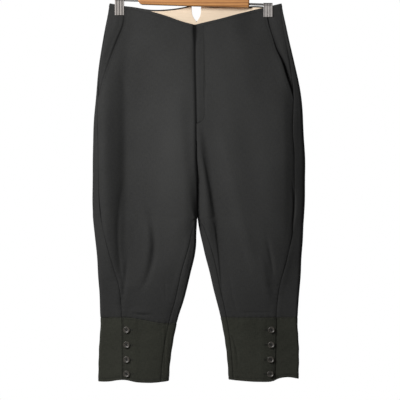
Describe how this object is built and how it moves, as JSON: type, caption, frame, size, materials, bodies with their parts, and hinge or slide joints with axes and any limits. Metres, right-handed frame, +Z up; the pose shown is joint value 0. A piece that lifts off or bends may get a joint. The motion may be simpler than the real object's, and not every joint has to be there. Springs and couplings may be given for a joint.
{
  "type": "jodhpurs on a clip hanger",
  "caption": "Knee-length jodhpurs hung flat by the waist from a wooden bar with two metal clips and a wire hook, with buttoned leg bands.",
  "frame": {"origin": "the point inside the top of the hanger's hook that bears on a rail", "axes": "+Z up, the front of the garment faces -Y, and +X is toward the wearer's left"},
  "size_m": [0.4677, 0.063, 0.966],
  "materials": {
    "cloth": "matt dark charcoal woven cloth",
    "cuff": "matt dark charcoal woven cloth, a little darker",
    "facing": "pale cream ribbed facing with a slight sheen",
    "button": "dark dished buttons",
    "wood": "varnished orange-brown",
    "metal": "worn plated steel"
  },
  "bodies": {
    "root": {"front_right": "cloth", "front_left": "cloth", "back_right": "cloth", "back_left": "cloth", "pocket_right": "cloth", "pocket_left": "cloth", "fly": "cloth", "waist_facing_right": "facing", "waist_facing_left": "facing", "cuff_front_right": "cuff", "cuff_front_left": "cuff", "cuff_back_right": "cuff", "cuff_back_left": "cuff", "button_right_1": "button", "button_right_2": "button", "button_right_3": "button", "button_right_4": "button", "button_left_1": "button", "button_left_2": "button", "button_left_3": "button", "button_left_4": "button", "hanger_bar": "wood", "hanger_hook": "metal", "rod_right": "metal", "rod_left": "metal", "clip_right": "metal", "clip_left": "metal"}
  },
  "joints": []
}
